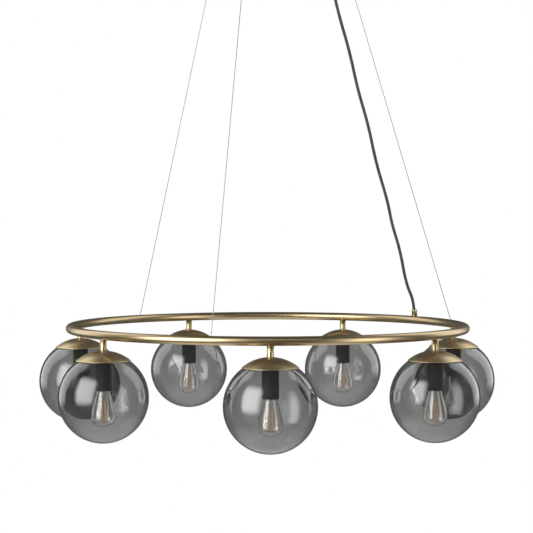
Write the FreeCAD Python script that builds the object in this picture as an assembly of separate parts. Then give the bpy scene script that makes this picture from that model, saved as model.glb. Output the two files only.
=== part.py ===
import FreeCAD, Part
import math
import os

# A cluster pendant: glass globes hang on short stems under a tube bent into a ring, and three
# steel wires and one power cord carry the ring from a round canopy on the ceiling.
# Millimetres, +Z up. The ceiling is the plane z = 0, and the canopy's middle is the origin.
# Azimuths are degrees round the Z axis, from the front (-Y) towards +X.

V = FreeCAD.Vector
ORIGIN = V(0, 0, 0)
AXIS_X = V(1, 0, 0)
AXIS_Z = V(0, 0, 1)

# ---------------------------------------------------------------- driving sizes

# Layout
ring_radius = 420.0           # to the centreline of the ring's tube
ring_drop = 1155.0            # from the ceiling to that centreline
lamp_count = 7
wire_count = 3
first_wire_azimuth = -135.6
gland_azimuth = 126.2

# Fits
slip_gap = 0.05               # between fixed pieces that slide together
turn_gap = 0.3                # between curved faces that move past each other
seat_gap = 0.35               # between the glass and what it bears on
braze_gap = 0.05              # filled with solder on the real ring

# Ring
tube_diameter = 18.0
tube_wall = 1.5
bundle_diameter = 6.0         # the leads that lie together in the tube
lead_diameter = 5.0           # the pair of leads in one stem

# Stems
stem_diameter = 13.5
stem_length = 21.0            # from the tube's underside to the cap's top
stem_bore = 7.0
thread_diameter = 10.0
nut_width = 14.0              # across the flats
nut_height = 4.0

# Brass caps
cap_diameter = 109.0
cap_rise = 19.8
cap_wall = 1.2

# Glass globes
globe_diameter = 180.0
globe_wall = 2.5
neck_diameter = 76.0
cap_to_globe = 0.8            # least, straight down from the cap's rim to the glass

# Galleries: the black pans that the globes' necks push on to
gallery_wall = 0.8
gallery_clearance = 2.5       # between the pan's side and the neck
gallery_depth = 10.5
lip_cover = 2.5               # how far the pan's flange reaches past the neck
clip_count = 3
clip_angle = 14.0
clip_length = 6.5
clip_wall = 0.5

# Lampholders
holder_diameter = 33.0
holder_length = 56.5
holder_wall = 1.8
holder_head = 10.0            # solid top of the holder
holder_edge = 1.5             # chamfer round the head
socket_recess = 8.5           # from the mouth up to the end of the socket
socket_wall = 2.6
shell_wall = 0.6
thread_grip = 7.0             # how deep the stem goes into the holder's head

# Bulbs
base_diameter = 13.8
base_length = 17.0
base_skirt_diameter = 17.2
base_skirt_height = 3.0
tip_diameter = 4.8
tip_height = 1.2
insulator_height = 2.5
bulb_inset = 29.5             # from the holder's mouth up to the bulb's tip
bulb_diameter = 49.0
bulb_widest_below_tip = 84.5
bulb_wall = 0.8
bulb_taper = 16.1             # degrees off the axis
bulb_flank_radius = 90.0
bulb_shoulder_radius = 15.0
bulb_shoulder_angle = 60.0
bulb_neck_height = 4.5
filament_count = 4
filament_diameter = 1.8
filament_length = 43.0
filament_top_radius = 3.6
filament_foot_radius = 7.6
mount_length = 26.0           # glass rod that carries the filaments
mount_diameter = 4.4
crown_thickness = 0.8
hoop_diameter = 0.9
filament_lean = 0.15          # of its diameter, which a leaning filament's end needs

# Gland on the ring and grip on the canopy
cord_diameter = 7.0
gland_diameter = 12.5
gland_height = 15.0
gland_thread = 10.0
gland_reach = 6.0             # of the thread below the tube's top
gland_edge = 0.8              # chamfer round its mouth
grip_rise = 6.0               # of the grip's thread above the canopy's floor

# Wires, grippers and their release nozzles
wire_diameter = 1.5
anchor_inset = 20.0           # from the canopy's side in to a gripper's ball
ball_depth = 25.0             # from the ceiling to the ball's centre
ball_diameter = 12.0
gripper_neck = 4.5
gripper_neck_length = 12.0    # from the ball's centre to the barrel
barrel_diameter = 11.0
barrel_length = 22.0
barrel_edge = 1.0
wire_bore = 2.0
chamber_diameter = 7.8
chamber_length = 13.0
nozzle_diameter = 6.0
nozzle_reach = 6.0            # out of the barrel
nozzle_lip = 3.0              # of the barrel, under the nozzle's collar
nozzle_collar = 7.2
nozzle_collar_height = 2.0
wire_tail = 12.0              # above the ball
wire_hole = 2.6               # in the ring's tube
stop_diameter = 4.0
stop_length = 5.0
stop_play = 1.0               # along the wire, before the stop meets the tube

# Swivel bushes in the canopy
bush_thread = 15.0
bush_flange = 18.0
bush_flange_height = 2.0
bush_rise = 10.0              # above the canopy's underside
bush_mouth = 9.2              # the edge that keeps the ball in
bush_cone_angle = 45.0
BALL_SEAT_MIDDLE = math.radians(20.0)   # a point on the seat, below the ball's middle
bush_nut_width = 19.0
bush_nut_height = 3.5

# Canopy
canopy_diameter = 160.0
canopy_height = 30.0
canopy_wall = 1.2
canopy_corner = 5.0
ceiling_gap = 0.3             # between the cup's edge and the ceiling
plate_inset = 6.8             # from the cup's side in to the plate's edge
plate_thickness = 2.0
cable_hole = 20.0
fixing_spacing = 100.0
fixing_hole = 5.5
fixing_count = 2
tab_width = 15.0
tab_height = 16.0
tab_gap = 0.3                 # between a tab and the cup's side
side_screw = 4.0
side_screw_depth = 10.0       # below the ceiling
side_screw_length = 8.0
side_screw_head = 7.6
side_screw_head_height = 2.2
side_screw_play = 0.2
terminal_length = 34.0
terminal_width = 16.0
terminal_height = 13.0
terminal_offset = 28.0
terminal_ways = 3
terminal_entry = 4.0

# The power cord's route in the upright plane through the gland: the distance from the lamp's
# axis, and the height above the ring's centreline. It follows the cord's gentle waves.
CORD_ROUTE = [
    (420.0, -0.9), (420.0, 40.0), (394.0, 84.0), (376.0, 160.0), (350.0, 222.0), (338.7, 270.0),
    (303.0, 358.0), (281.0, 440.0), (249.0, 520.0), (226.5, 600.0), (191.0, 690.0), (169.5, 770.0),
    (136.0, 850.0), (113.0, 930.0), (70.0, 1010.0), (22.0, 1068.0), (0.0, 1100.0), (0.0, 1133.0),
]
ARC_SHARE = 0.45              # of the shorter run, from a corner to where its arc starts

CUT_MARGIN = 3.0              # how far a cutting tool runs past the wall that it cuts

# ---------------------------------------------------------------- levels that follow

ring_level = -ring_drop
tube_radius = tube_diameter / 2
tube_bore_radius = tube_radius - tube_wall
thread_radius = thread_diameter / 2
thread_hole = thread_radius + slip_gap

cap_top = ring_level - tube_radius - stem_length
cap_sphere = (cap_rise**2 + (cap_diameter / 2) ** 2) / (2 * cap_rise)
cap_centre = cap_top - cap_sphere
cap_rim_angle = math.asin(cap_diameter / 2 / cap_sphere)

globe_radius = globe_diameter / 2
globe_inner = globe_radius - globe_wall
lip_radius = globe_wall / 2
lip_sphere = globe_radius - lip_radius
neck_radius = neck_diameter / 2
lip_angle = math.asin((neck_radius + lip_radius) / lip_sphere)


def on_sphere(centre, radius, angle):
    """The radius and level of a point on a sphere round the axis, at an angle from straight up."""
    return radius * math.sin(angle), centre + radius * math.cos(angle)


rim_inner = on_sphere(cap_centre, cap_sphere - cap_wall, cap_rim_angle)
flange_radius = neck_radius + lip_cover
flange_seat = lip_radius + seat_gap + gallery_wall     # from the lip's middle to the flange's top
flange_ceiling = cap_centre + math.sqrt((cap_sphere - cap_wall) ** 2 - flange_radius**2)
lip_above_centre = lip_sphere * math.cos(lip_angle)

# The globe hangs as high as the cap's rim and the gallery's flange both allow.
globe_centre = min(
    rim_inner[1] - cap_to_globe - math.sqrt(globe_radius**2 - rim_inner[0] ** 2),
    flange_ceiling - slip_gap - flange_seat - lip_above_centre)
lip_level = globe_centre + lip_above_centre

gallery_radius = neck_radius - gallery_clearance
flange_bottom = lip_level + lip_radius + seat_gap
flange_top = lip_level + flange_seat
gallery_bottom = flange_top - gallery_depth
holder_radius = holder_diameter / 2
holder_bottom = gallery_bottom - holder_length
head_bottom = gallery_bottom - holder_head
socket_end = holder_bottom + socket_recess

tip_top = holder_bottom + bulb_inset
base_radius = base_diameter / 2
shell_radius = base_radius + turn_gap
shell_top = tip_top - tip_height - insulator_height
base_foot = shell_top - base_length - base_skirt_height
contact_bottom = tip_top + seat_gap
bulb_widest = tip_top - bulb_widest_below_tip

canopy_radius = canopy_diameter / 2
canopy_inner_radius = canopy_radius - canopy_wall
plate_diameter = 2 * (canopy_inner_radius - plate_inset)
anchor_radius = canopy_radius - anchor_inset
wire_run_out = ring_radius - anchor_radius
wire_run_up = ring_drop - ball_depth
wire_length = math.hypot(wire_run_out, wire_run_up)
wire_tilt = math.degrees(math.atan2(wire_run_out, wire_run_up))

canopy_floor = -canopy_height
canopy_inside = canopy_floor + canopy_wall
grip_bottom = canopy_floor - gland_height

# ---------------------------------------------------------------- ways of making a shape


def section(start, *moves):
    """A closed half section, from points (radius, level). A move holds one point, for a line,
    or two, for an arc through the first of them to the second."""
    edges = []
    here = V(start[0], 0, start[1])
    for move in moves:
        points = [V(radius, 0, level) for radius, level in move]
        if len(points) == 1:
            edges.append(Part.LineSegment(here, points[0]).toShape())
        else:
            edges.append(Part.Arc(here, points[0], points[1]).toShape())
        here = points[-1]
    edges.append(Part.LineSegment(here, V(start[0], 0, start[1])).toShape())
    return Part.Face(Part.Wire(edges))


def turned(face, sweep=360.0):
    """The solid that a half section makes as it turns round the Z axis."""
    return face.revolve(ORIGIN, AXIS_Z, sweep)


def lathe(*points):
    """A solid of revolution with a straight-sided half section."""
    return turned(section(points[0], *[[point] for point in points[1:]]))


def rod(radius, bottom, top):
    """An upright cylinder on the Z axis."""
    return Part.makeCylinder(radius, top - bottom, V(0, 0, bottom))


def hex_nut(width, hole_radius, bottom, height):
    """A six-sided nut on the Z axis, from its width across the flats."""
    corner = width / math.sqrt(3)
    corners = [V(corner * math.cos(k * math.pi / 3), corner * math.sin(k * math.pi / 3), bottom)
               for k in range(7)]
    blank = Part.Face(Part.makePolygon(corners)).extrude(V(0, 0, height))
    return blank.cut(rod(hole_radius, bottom - CUT_MARGIN, bottom + height + CUT_MARGIN))


def ring_solid(radius):
    """A torus on the ring's centreline."""
    return Part.makeTorus(ring_radius, radius, V(0, 0, ring_level))


def moved_to(shape, radius, azimuth):
    """A copy of a shape made on the Z axis, carried out to a radius at an azimuth."""
    copy = shape.copy()
    copy.translate(V(0, -radius, 0))
    copy.rotate(ORIGIN, AXIS_Z, azimuth)
    return copy


def lamp_azimuth(number):
    """The azimuth of a lamp, numbered from 1 at the front."""
    return (number - 1) * 360.0 / lamp_count


def wire_azimuth(number):
    """The azimuth of a wire, numbered from 1 at the back left."""
    return first_wire_azimuth + (number - 1) * 360.0 / wire_count


def at_every_lamp(shape):
    """Copies of one lamp's piece, as separate solids."""
    return Part.makeCompound(
        [moved_to(shape, ring_radius, lamp_azimuth(n)) for n in range(1, lamp_count + 1)])


def at_every_wire(shape):
    """Copies of one wire anchor's piece, as separate solids."""
    return Part.makeCompound(
        [moved_to(shape, anchor_radius, wire_azimuth(n)) for n in range(1, wire_count + 1)])


def along_wire(shape, number):
    """A shape made on the Z axis with the gripper's ball at its origin, laid along a wire."""
    copy = shape.copy()
    copy.rotate(ORIGIN, AXIS_X, -wire_tilt)
    copy.translate(V(0, -anchor_radius, -ball_depth))
    copy.rotate(ORIGIN, AXIS_Z, wire_azimuth(number))
    return copy


# ---------------------------------------------------------------- ring


def ring_tube():
    """The bent tube, with a hole over each stem, one for each wire and one for the gland."""
    tube = ring_solid(tube_radius).cut(ring_solid(tube_bore_radius))
    stem_hole = rod(stem_bore / 2, ring_level - tube_radius - CUT_MARGIN, ring_level)
    tube = tube.cut(at_every_lamp(stem_hole))
    gland_hole = rod(gland_thread / 2 + slip_gap, ring_level, ring_level + tube_radius + CUT_MARGIN)
    tube = tube.cut(moved_to(gland_hole, ring_radius, gland_azimuth))
    bore = rod(wire_hole / 2, 0, tube_radius + CUT_MARGIN)
    bore.translate(V(0, 0, -wire_length))
    for number in range(1, wire_count + 1):
        tube = tube.cut(along_wire(bore, number))
    return tube


def ring_stem():
    """A stem, coped to the tube above, with a shoulder on the cap and a threaded end below."""
    shoulder = cap_centre + math.sqrt(cap_sphere**2 - thread_radius**2)
    thread_end = gallery_bottom - thread_grip
    stem = rod(stem_diameter / 2, shoulder, ring_level)
    stem = stem.fuse(rod(thread_radius, thread_end, shoulder))
    stem = stem.cut(rod(stem_bore / 2, thread_end - CUT_MARGIN, ring_level))
    stem.translate(V(0, -ring_radius, 0))
    stem = stem.cut(ring_solid(tube_radius + braze_gap))
    stem.translate(V(0, ring_radius, 0))
    return stem


def ring_wiring():
    """The leads: one bundle round the tube's floor and a pair down each stem."""
    floor = tube_bore_radius - bundle_diameter / 2 - turn_gap
    bundle = Part.makeTorus(ring_radius, bundle_diameter / 2, V(0, 0, ring_level - floor))
    pair = rod(lead_diameter / 2, gallery_bottom - thread_grip, ring_level - floor)
    return bundle.fuse([moved_to(pair, ring_radius, lamp_azimuth(n))
                        for n in range(1, lamp_count + 1)])


def gland_sleeve(foot, top):
    """The outside of a gland, with its upper edge chamfered."""
    radius = gland_diameter / 2
    return lathe((0, foot), (radius, foot), (radius, top - gland_edge), (radius - gland_edge, top),
                 (0, top))


def cord_gland():
    """The brass gland on the ring: a sleeve coped to the tube, with its thread in the hole."""
    top = ring_level + tube_radius + gland_height
    thread_foot = ring_level + tube_radius - gland_reach
    sleeve = moved_to(gland_sleeve(ring_level, top), ring_radius, 0)
    sleeve = moved_to(sleeve.cut(ring_solid(tube_radius + braze_gap)), -ring_radius, 0)
    thread = rod(gland_thread / 2, thread_foot, ring_level + tube_radius + CUT_MARGIN)
    bore = rod(cord_diameter / 2 + turn_gap, ring_level, top + CUT_MARGIN)
    return sleeve.fuse(thread).cut(bore)


# ---------------------------------------------------------------- lamps


def cap():
    """A brass dome of even thickness, with a hole for the stem's thread."""
    outer = cap_sphere
    inner = cap_sphere - cap_wall
    hole_outer = math.asin(thread_hole / outer)
    hole_inner = math.asin(thread_hole / inner)
    middle = cap_rim_angle / 2
    return turned(section(
        on_sphere(cap_centre, outer, hole_outer),
        [on_sphere(cap_centre, outer, middle), on_sphere(cap_centre, outer, cap_rim_angle)],
        [rim_inner],
        [on_sphere(cap_centre, inner, middle), on_sphere(cap_centre, inner, hole_inner)]))


def stem_nuts():
    """The two nuts of one lamp: under the cap, and on the gallery's floor."""
    corner = nut_width / math.sqrt(3)
    under_cap = cap_centre + math.sqrt((cap_sphere - cap_wall) ** 2 - corner**2) - slip_gap
    upper = hex_nut(nut_width, thread_hole, under_cap - nut_height, nut_height)
    lower = hex_nut(nut_width, thread_hole, gallery_bottom + gallery_wall, nut_height)
    return upper, lower


def gallery():
    """The black pan in the globe's neck: a floor, a side, a flange over the glass's lip, and
    bent spring tongues that press on the neck."""
    side = gallery_radius - gallery_wall
    pan = lathe((thread_hole, gallery_bottom), (gallery_radius, gallery_bottom),
                (gallery_radius, flange_bottom), (flange_radius, flange_bottom),
                (flange_radius, flange_top), (side, flange_top),
                (side, gallery_bottom + gallery_wall), (thread_hole, gallery_bottom + gallery_wall))
    root = gallery_radius - gallery_wall / 2
    crest = neck_radius - turn_gap
    foot = flange_bottom - clip_length
    tongue = turned(section(
        (root, flange_bottom), [(crest, lip_level)], [(root, foot)], [(root, foot + 2 * clip_wall)],
        [(crest - 1.5 * clip_wall, lip_level)], [(root, flange_bottom - clip_wall)]), clip_angle)
    for index in range(clip_count):
        turned_tongue = tongue.copy()
        turned_tongue.rotate(ORIGIN, AXIS_Z, index * 360.0 / clip_count)
        pan = pan.fuse(turned_tongue)
    return pan


def globe():
    """A blown glass ball of even wall, open at the neck, with a rounded lip."""
    angle = lip_angle
    lip_crest = (lip_sphere * math.sin(angle) - lip_radius * math.cos(angle),
                 globe_centre + lip_sphere * math.cos(angle) + lip_radius * math.sin(angle))
    side = (angle + math.pi) / 2
    return turned(section(
        on_sphere(globe_centre, globe_radius, math.pi),
        [on_sphere(globe_centre, globe_radius, side), on_sphere(globe_centre, globe_radius, angle)],
        [lip_crest, on_sphere(globe_centre, globe_inner, angle)],
        [on_sphere(globe_centre, globe_inner, side), on_sphere(globe_centre, globe_inner, math.pi)]))


def lampholder():
    """The black holder: a solid head on the thread, a skirt, and a sleeve round the socket."""
    skirt = holder_radius - holder_wall
    socket_bore = shell_radius + shell_wall + slip_gap
    socket = socket_bore + socket_wall
    roof = tip_top + seat_gap + crown_thickness + slip_gap
    return lathe(
        (thread_hole, gallery_bottom), (holder_radius - holder_edge, gallery_bottom),
        (holder_radius, gallery_bottom - holder_edge), (holder_radius, holder_bottom),
        (skirt, holder_bottom), (skirt, head_bottom), (socket, head_bottom), (socket, socket_end),
        (socket_bore, socket_end), (socket_bore, roof), (thread_hole, roof))


def socket_shell():
    """The brass parts of a socket: the shell that takes the base's thread, and the contact."""
    outer = shell_radius + shell_wall
    foot = shell_top - base_length + seat_gap
    shell = rod(outer, foot, tip_top - tip_height).cut(
        rod(shell_radius, foot - CUT_MARGIN, tip_top))
    contact = rod(tip_diameter / 2, tip_top + seat_gap, tip_top + seat_gap + crown_thickness)
    return shell, contact


def bulb_outline(wall):
    """The half outline of a teardrop bulb, set in by a wall: from its neck, down a straight
    taper and a long flank, round the shoulder and over the end to the axis."""
    radius = bulb_diameter / 2
    taper = math.radians(bulb_taper)
    turn = math.radians(bulb_shoulder_angle)
    flank = bulb_flank_radius - wall
    flank_centre = radius - bulb_flank_radius
    shoulder = bulb_shoulder_radius - wall
    shoulder_centre = radius - bulb_shoulder_radius
    end_centre = bulb_widest + shoulder_centre * math.tan(turn)
    end = bulb_shoulder_radius + shoulder_centre / math.cos(turn) - wall

    def on_flank(angle):
        return flank_centre + flank * math.cos(angle), bulb_widest + flank * math.sin(angle)

    def on_shoulder(angle):
        return (shoulder_centre + shoulder * math.cos(angle),
                bulb_widest - shoulder * math.sin(angle))

    def on_end(angle):
        return end * math.cos(angle), end_centre - end * math.sin(angle)

    taper_foot = on_flank(taper)
    neck_level = base_foot - bulb_neck_height
    neck = (taper_foot[0] - (neck_level - taper_foot[1]) * math.tan(taper), neck_level)
    top = (base_skirt_diameter / 2 - wall, base_foot)
    upright = math.pi / 2
    return top, [
        [neck], [taper_foot], [on_flank(taper / 2), (radius - wall, bulb_widest)],
        [on_shoulder(turn / 2), on_shoulder(turn)], [on_end((turn + upright) / 2), on_end(upright)]]


def bulb_glass():
    """The bulb's thin envelope, open at the neck where the base closes it."""
    def filled(wall):
        top, moves = bulb_outline(wall)
        return turned(section(top, *moves, [(0, base_foot)]))
    return filled(0).cut(filled(bulb_wall))


def bulb_base():
    """The screw base with its tip, and inside the glass a rod, a crown, a hoop and filaments."""
    insulator = tip_top - tip_height
    base = lathe(
        (0, tip_top), (tip_diameter / 2, tip_top), (tip_diameter / 2, insulator),
        (tip_diameter, insulator), (base_radius, shell_top), (base_radius, shell_top - base_length),
        (base_skirt_diameter / 2, shell_top - base_length - base_skirt_height / 2),
        (base_skirt_diameter / 2, base_foot), (0, base_foot))
    crown_level = base_foot - mount_length
    mount = rod(mount_diameter / 2, crown_level, base_foot)
    crown = rod(filament_top_radius + filament_diameter, crown_level - crown_thickness, crown_level)
    top = crown_level - crown_thickness - slip_gap - filament_diameter * filament_lean
    parts = [base, mount, crown]
    for index in range(filament_count):
        spoke = V(0, -1, 0)
        turn = FreeCAD.Rotation(AXIS_Z, (index + 0.5) * 360.0 / filament_count)
        spoke = turn.multVec(spoke)
        head = spoke * filament_top_radius + V(0, 0, top)
        foot = spoke * filament_foot_radius + V(0, 0, top - filament_length)
        parts.append(Part.makeCylinder(filament_diameter / 2, (foot - head).Length, head, foot - head))
    hoop_level = top - filament_length - hoop_diameter / 2 - filament_diameter * filament_lean
    parts.append(Part.makeTorus(filament_foot_radius, hoop_diameter / 2, V(0, 0, hoop_level)))
    return parts


# ---------------------------------------------------------------- wires and grippers


def wire():
    """A wire rope from its tail above the gripper down to a stop crimped on inside the tube."""
    radius = wire_diameter / 2
    seat = math.sqrt(tube_bore_radius**2 - (stop_diameter / 2) ** 2)
    stop_top = seat - stop_play - wire_length
    stop_foot = stop_top - stop_length
    rope = rod(radius, stop_foot, wire_tail)
    stop = rod(stop_diameter / 2, stop_foot, stop_top).cut(
        rod(radius + slip_gap, stop_foot - CUT_MARGIN, stop_top + CUT_MARGIN))
    return Part.makeCompound([rope, stop])


def gripper():
    """A gripper turned round its wire: a ball, a neck, and a barrel with the nozzle's chamber."""
    ball = ball_diameter / 2
    neck = gripper_neck / 2
    barrel = barrel_diameter / 2
    top = -gripper_neck_length
    foot = top - barrel_length
    neck_meets_ball = -math.sqrt(ball**2 - neck**2)
    body = turned(section(
        (0, ball), [(ball, 0), (neck, neck_meets_ball)], [(neck, top)], [(barrel - barrel_edge, top)],
        [(barrel, top - barrel_edge)], [(barrel, foot + barrel_edge)], [(barrel - barrel_edge, foot)],
        [(0, foot)]))
    chamber_foot = foot + nozzle_lip
    body = body.cut(rod(chamber_diameter / 2, chamber_foot, chamber_foot + chamber_length))
    body = body.cut(rod(nozzle_diameter / 2 + slip_gap, foot - CUT_MARGIN, chamber_foot + slip_gap))
    return body.cut(rod(wire_bore / 2, foot, ball + CUT_MARGIN))


def nozzle():
    """The release nozzle: a sleeve on the wire, with a collar that stays in the barrel."""
    foot = -gripper_neck_length - barrel_length
    collar_foot = foot + nozzle_lip + slip_gap
    collar_top = collar_foot + nozzle_collar_height
    return lathe(
        (wire_bore / 2, foot - nozzle_reach), (nozzle_diameter / 2, foot - nozzle_reach),
        (nozzle_diameter / 2, collar_foot), (nozzle_collar / 2, collar_foot),
        (nozzle_collar / 2, collar_top), (wire_bore / 2, collar_top))


def swivel_bush():
    """A flanged bush with a round seat for the ball, and a cone below that lets the neck swing."""
    seat = ball_diameter / 2 + slip_gap
    mouth = bush_mouth / 2
    mouth_level = -ball_depth - math.sqrt(seat**2 - mouth**2)
    flange_foot = canopy_floor - bush_flange_height
    cone = mouth + (mouth_level - flange_foot) * math.tan(math.radians(bush_cone_angle))
    top = canopy_floor + bush_rise
    return turned(section(
        (seat, top), [(seat, -ball_depth)],
        [(seat * math.cos(BALL_SEAT_MIDDLE), -ball_depth - seat * math.sin(BALL_SEAT_MIDDLE)),
         (mouth, mouth_level)],
        [(cone, flange_foot)], [(bush_flange / 2, flange_foot)], [(bush_flange / 2, canopy_floor)],
        [(bush_thread / 2, canopy_floor)], [(bush_thread / 2, top)]))


# ---------------------------------------------------------------- canopy


def canopy_cup():
    """The cup against the ceiling, with holes for the bushes, the cord's grip and the screws."""
    def bend(centre_radius, centre_level, radius):
        slant = radius * math.sqrt(0.5)
        return (centre_radius + slant, centre_level - slant)

    outer = canopy_radius
    corner = outer - canopy_corner
    inner = canopy_inner_radius
    middle = canopy_floor + canopy_corner
    cup = turned(section(
        (0, canopy_floor), [(corner, canopy_floor)],
        [bend(corner, middle, canopy_corner), (outer, middle)], [(outer, -ceiling_gap)],
        [(inner, -ceiling_gap)], [(inner, middle)],
        [bend(corner, middle, canopy_corner - canopy_wall), (corner, canopy_inside)],
        [(0, canopy_inside)]))
    above = canopy_inside + CUT_MARGIN
    below = canopy_floor - CUT_MARGIN
    cup = cup.cut(at_every_wire(rod(bush_thread / 2 + slip_gap, below, above)))
    cup = cup.cut(rod(gland_thread / 2 + slip_gap, below, above))
    screw_hole = side_screw / 2 + side_screw_play
    for way in (-1, 1):
        cup = cup.cut(Part.makeCylinder(screw_hole, canopy_radius + CUT_MARGIN,
                                        V(0, 0, -side_screw_depth), AXIS_X * way))
    return cup


def mounting_plate():
    """The steel plate on the ceiling, with two tabs bent down for the side screws."""
    plate = rod(plate_diameter / 2, -plate_thickness, 0)
    reach = canopy_inner_radius - tab_gap
    for way in (-1, 1):
        arm = Part.makeBox(reach, tab_width, plate_thickness,
                           V(0 if way > 0 else -reach, -tab_width / 2, -plate_thickness))
        tab = Part.makeBox(plate_thickness, tab_width, tab_height,
                           V(reach - plate_thickness if way > 0 else -reach, -tab_width / 2,
                             -tab_height))
        plate = plate.fuse([arm, tab])
    keep = rod(reach, -tab_height, 0)
    plate = plate.common(keep).removeSplitter()
    plate = plate.cut(rod(cable_hole / 2, -CUT_MARGIN, CUT_MARGIN))
    for index in range(fixing_count):
        level = (index - (fixing_count - 1) / 2) * fixing_spacing
        hole = rod(fixing_hole / 2, -CUT_MARGIN, CUT_MARGIN)
        hole.translate(V(0, level, 0))
        plate = plate.cut(hole)
    return plate.cut(Part.makeCylinder(side_screw / 2 + slip_gap, 2 * canopy_diameter,
                                       V(-canopy_diameter, 0, -side_screw_depth), AXIS_X))


def side_screws():
    """The two screws that hold the cup to the plate's tabs."""
    shank = Part.makeCylinder(side_screw / 2, side_screw_length,
                              V(canopy_radius - side_screw_length, 0, -side_screw_depth), AXIS_X)
    head = Part.makeCylinder(side_screw_head / 2, side_screw_head_height,
                             V(canopy_radius + slip_gap, 0, -side_screw_depth), AXIS_X)
    neck = Part.makeCylinder(side_screw / 2, 2 * slip_gap,
                             V(canopy_radius - slip_gap, 0, -side_screw_depth), AXIS_X)
    screw = shank.fuse([neck, head]).removeSplitter()
    other = screw.copy()
    other.rotate(ORIGIN, AXIS_Z, 180)
    return Part.makeCompound([screw, other])


def cord_grip():
    """The brass grip under the canopy, with its thread up through the cup."""
    sleeve = gland_sleeve(grip_bottom, canopy_floor)
    sleeve.rotate(V(0, 0, (grip_bottom + canopy_floor) / 2), AXIS_X, 180)
    thread = rod(gland_thread / 2, canopy_floor - CUT_MARGIN, canopy_inside + grip_rise)
    bore = rod(cord_diameter / 2 + turn_gap, grip_bottom - CUT_MARGIN, 0)
    return sleeve.fuse(thread).cut(bore)


def canopy_nuts():
    """The nuts inside the canopy: one on each swivel bush and one on the cord's grip."""
    bush_nut = hex_nut(bush_nut_width, bush_thread / 2 + slip_gap, canopy_inside, bush_nut_height)
    grip_nut = hex_nut(nut_width, gland_thread / 2 + slip_gap, canopy_inside, bush_nut_height)
    return Part.makeCompound([*at_every_wire(bush_nut).Solids, grip_nut])


def terminal_block():
    """The terminal block under the plate, with an entry in each side for every way."""
    block = Part.makeBox(terminal_length, terminal_width, terminal_height,
                         V(-terminal_length / 2, terminal_offset - terminal_width / 2,
                           -plate_thickness - terminal_height))
    pitch = terminal_length / terminal_ways
    for index in range(terminal_ways):
        place = V((index - (terminal_ways - 1) / 2) * pitch, 0,
                  -plate_thickness - terminal_height / 2)
        block = block.cut(Part.makeCylinder(terminal_entry / 2, 2 * terminal_offset, place,
                                            V(0, 1, 0)))
        place.z = -plate_thickness - terminal_height
        place.y = terminal_offset
        block = block.cut(Part.makeCylinder(terminal_entry / 2, terminal_height / 2, place, AXIS_Z))
    return block


# ---------------------------------------------------------------- power cord


def power_cord():
    """A round tube along the cord's route: straight runs joined by arcs as large as they allow."""
    points = [V(0, -out, ring_level + height) for out, height in CORD_ROUTE]
    edges = []
    here = points[0]
    radii = []
    for before, corner, after in zip(points, points[1:], points[2:]):
        back = (before - corner).normalize()
        on = (after - corner).normalize()
        half_turn = (math.pi - back.getAngle(on)) / 2
        reach = ARC_SHARE * min((before - corner).Length, (after - corner).Length)
        radius = reach / math.tan(half_turn)
        start = corner + back * reach
        end = corner + on * reach
        inward = (back + on).normalize()
        middle = corner + inward * (radius / math.cos(half_turn) - radius)
        edges.append(Part.LineSegment(here, start).toShape())
        edges.append(Part.Arc(start, middle, end).toShape())
        here = end
        radii.append(radius)
    edges.append(Part.LineSegment(here, points[-1]).toShape())
    path = Part.Wire(edges)
    circle = Part.Circle(points[0], points[1] - points[0], cord_diameter / 2).toShape()
    tube = path.makePipeShell([Part.Wire(circle)], True, False)
    expected = math.pi * (cord_diameter / 2) ** 2 * path.Length
    print("cord: length %.1f, least radius %.1f of %s, volume %.4f of the expected"
          % (path.Length, min(radii), [round(r) for r in radii], tube.Volume / expected))
    tube.rotate(ORIGIN, AXIS_Z, gland_azimuth)
    return tube


# ---------------------------------------------------------------- the pieces


def pieces():
    """Every piece in its own named entry."""
    named = {
        "mounting_plate": mounting_plate(),
        "canopy_cup": canopy_cup(),
        "side_screws": side_screws(),
        "terminal_block": terminal_block(),
        "cord_grip": cord_grip(),
        "swivel_bushes": at_every_wire(swivel_bush()),
        "canopy_nuts": canopy_nuts(),
        "power_cord": power_cord(),
        "ring_tube": ring_tube(),
        "cord_gland": moved_to(cord_gland(), ring_radius, gland_azimuth),
        "ring_stems": at_every_lamp(ring_stem()),
        "ring_wiring": ring_wiring(),
        "stem_nuts": Part.makeCompound([at_every_lamp(nut) for nut in stem_nuts()]),
        "glass_galleries": at_every_lamp(gallery()),
        "socket_shells": Part.makeCompound([at_every_lamp(part) for part in socket_shell()]),
    }
    for number in range(1, wire_count + 1):
        named["wire_%d" % number] = along_wire(wire(), number)
        named["gripper_%d" % number] = along_wire(gripper(), number)
        named["nozzle_%d" % number] = along_wire(nozzle(), number)
    lamp_pieces = {
        "cap": cap(),
        "lampholder": lampholder(),
        "globe": globe(),
        "bulb_glass": bulb_glass(),
        "bulb_base": Part.makeCompound(bulb_base()),
    }
    for number in range(1, lamp_count + 1):
        for name, shape in lamp_pieces.items():
            place = lamp_azimuth(number)
            named["%s_%d" % (name, number)] = moved_to(shape, ring_radius, place)
    return named


os.makedirs("parts", exist_ok=True)
for name, shape in pieces().items():
    for solid in shape.Solids:
        if not solid.isValid() or solid.Volume <= 0:
            print("not a sound solid:", name)
    print("%-16s %2d solids %10.1f mm3" % (name, len(shape.Solids), shape.Volume))
    shape.exportStep("parts/%s.step" % name)
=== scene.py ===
import math

import bmesh
import bpy
import numpy as np
from mathutils import Matrix, Vector

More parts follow.
